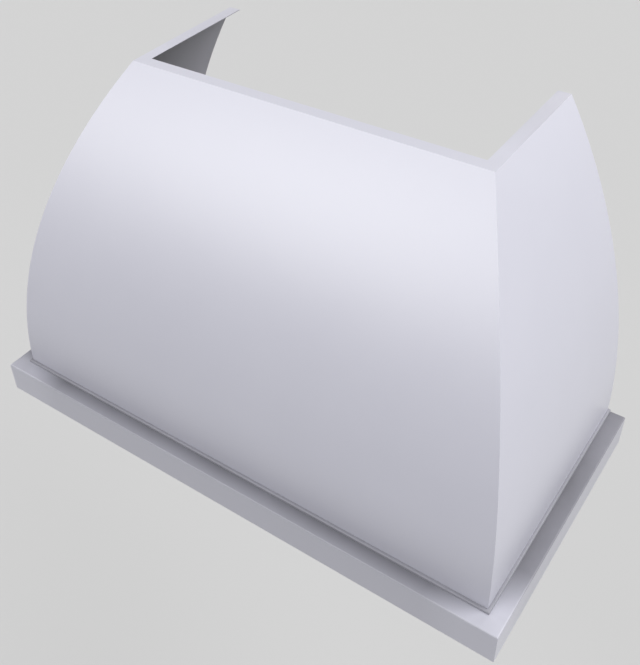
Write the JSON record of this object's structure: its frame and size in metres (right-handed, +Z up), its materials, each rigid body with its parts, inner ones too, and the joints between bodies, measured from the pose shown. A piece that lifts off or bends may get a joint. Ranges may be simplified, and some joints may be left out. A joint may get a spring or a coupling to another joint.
{
  "type": "wall-mount range hood",
  "caption": "Wall-mount range hood: barrel-curved steel canopy on a flat rim, open at top and back, with liner, baffle filters, lamps, push buttons and a ducted blower.",
  "frame": {"origin": "centre of the four wall fixings, on the wall plane", "axes": "+X to the right seen from the front, +Y into the wall, +Z up"},
  "size_m": [1.2192, 0.6096, 0.764],
  "materials": {
    "canopy_coat": "satin",
    "bracket_coat": "satin",
    "stainless": "brushed",
    "polished_steel": "polished",
    "galvanised": "spangled",
    "zinc_screw": "zinc plated",
    "rivet_alloy": "plain",
    "spring_steel": "plain",
    "ground_steel": "ground",
    "lamp_alloy": "spun",
    "frosted_glass": "frosted",
    "button_plastic": "gloss",
    "motor_paint": "semi-gloss",
    "black_plastic": "matte",
    "capacitor_case": "satin"
  },
  "bodies": {
    "hood": {"front_panel": "canopy_coat", "left_side_panel": "canopy_coat", "right_side_panel": "canopy_coat", "front_rim": "canopy_coat", "left_rim": "canopy_coat", "right_rim": "canopy_coat", "front_foot_trim": "canopy_coat", "left_foot_trim": "canopy_coat", "right_foot_trim": "canopy_coat", "wall_plate": "bracket_coat", "rear_rail": "bracket_coat", "filter_hooks": "bracket_coat", "liner_pan": "stainless", "control_plate": "stainless", "left_lamp_bezel": "polished_steel", "right_lamp_bezel": "polished_steel", "plenum_base": "galvanised", "blower_box": "galvanised", "scroll_wrap": "galvanised", "scroll_inlet_plate": "galvanised", "scroll_motor_plate": "galvanised", "inlet_ring": "galvanised", "duct_collar": "galvanised", "switch_box": "galvanised", "junction_box": "galvanised", "junction_cover": "galvanised", "rail_screws": "zinc_screw", "liner_screws": "zinc_screw", "motor_screws": "zinc_screw", "collar_screws": "zinc_screw", "canopy_rivets": "rivet_alloy", "filter_catches": "spring_steel", "damper_rod": "ground_steel", "left_lamp_housing": "lamp_alloy", "right_lamp_housing": "lamp_alloy", "left_lamp_lens": "frosted_glass", "right_lamp_lens": "frosted_glass", "motor": "motor_paint", "switch_block": "black_plastic", "cable_gland": "black_plastic", "capacitor": "capacitor_case"},
    "rotor": {"impeller": "galvanised", "motor_shaft": "ground_steel"},
    "rear_flap": {"rear_damper_flap": "galvanised"},
    "front_flap": {"front_damper_flap": "galvanised"},
    "left_filter": {"left_filter_frame": "stainless", "left_filter_baffles": "stainless"},
    "left_handle": {"left_filter_handle": "polished_steel"},
    "middle_filter": {"middle_filter_frame": "stainless", "middle_filter_baffles": "stainless"},
    "middle_handle": {"middle_filter_handle": "polished_steel"},
    "right_filter": {"right_filter_frame": "stainless", "right_filter_baffles": "stainless"},
    "right_handle": {"right_filter_handle": "polished_steel"},
    "lamp_button": {"lamp_button": "button_plastic"},
    "power_button": {"power_button": "button_plastic"},
    "low_speed_button": {"low_speed_button": "button_plastic"},
    "medium_speed_button": {"medium_speed_button": "button_plastic"},
    "high_speed_button": {"high_speed_button": "button_plastic"}
  },
  "joints": [
    {"name": "impeller_spin", "type": "hinge", "parent": "hood", "child": "rotor", "pos_m": [0, -0.245, 0.059], "axis": [1, 0, 0], "continuous": true},
    {"name": "rear_flap_swing", "type": "hinge", "parent": "hood", "child": "rear_flap", "pos_m": [0, -0.16, 0.205], "axis": [1, 0, 0], "range_deg": [0, 75]},
    {"name": "front_flap_swing", "type": "hinge", "parent": "hood", "child": "front_flap", "pos_m": [0, -0.16, 0.205], "axis": [-1, 0, 0], "range_deg": [0, 75]},
    {"name": "left_filter_swing", "type": "hinge", "parent": "hood", "child": "left_filter", "pos_m": [-0.304, -0.079, -0.1552], "axis": [1, 0, 0], "range_deg": [0, 60]},
    {"name": "left_handle_fold", "type": "hinge", "parent": "left_filter", "child": "left_handle", "pos_m": [-0.304, -0.425, -0.1717], "axis": [1, 0, 0], "range_deg": [0, 80]},
    {"name": "middle_filter_swing", "type": "hinge", "parent": "hood", "child": "middle_filter", "pos_m": [0, -0.079, -0.1552], "axis": [1, 0, 0], "range_deg": [0, 60]},
    {"name": "middle_handle_fold", "type": "hinge", "parent": "middle_filter", "child": "middle_handle", "pos_m": [0, -0.425, -0.1717], "axis": [1, 0, 0], "range_deg": [0, 80]},
    {"name": "right_filter_swing", "type": "hinge", "parent": "hood", "child": "right_filter", "pos_m": [0.304, -0.079, -0.1552], "axis": [1, 0, 0], "range_deg": [0, 60]},
    {"name": "right_handle_fold", "type": "hinge", "parent": "right_filter", "child": "right_handle", "pos_m": [0.304, -0.425, -0.1717], "axis": [1, 0, 0], "range_deg": [0, 80]},
    {"name": "lamp_button_press", "type": "slide", "parent": "hood", "child": "lamp_button", "axis": [0, 0, 1], "range_m": [0, 0.002], "stiffness_N_per_m": 800, "springref_m": -0.001},
    {"name": "power_button_press", "type": "slide", "parent": "hood", "child": "power_button", "axis": [0, 0, 1], "range_m": [0, 0.002], "stiffness_N_per_m": 800, "springref_m": -0.001},
    {"name": "low_speed_button_press", "type": "slide", "parent": "hood", "child": "low_speed_button", "axis": [0, 0, 1], "range_m": [0, 0.002], "stiffness_N_per_m": 800, "springref_m": -0.001},
    {"name": "medium_speed_button_press", "type": "slide", "parent": "hood", "child": "medium_speed_button", "axis": [0, 0, 1], "range_m": [0, 0.002], "stiffness_N_per_m": 800, "springref_m": -0.001},
    {"name": "high_speed_button_press", "type": "slide", "parent": "hood", "child": "high_speed_button", "axis": [0, 0, 1], "range_m": [0, 0.002], "stiffness_N_per_m": 800, "springref_m": -0.001}
  ]
}
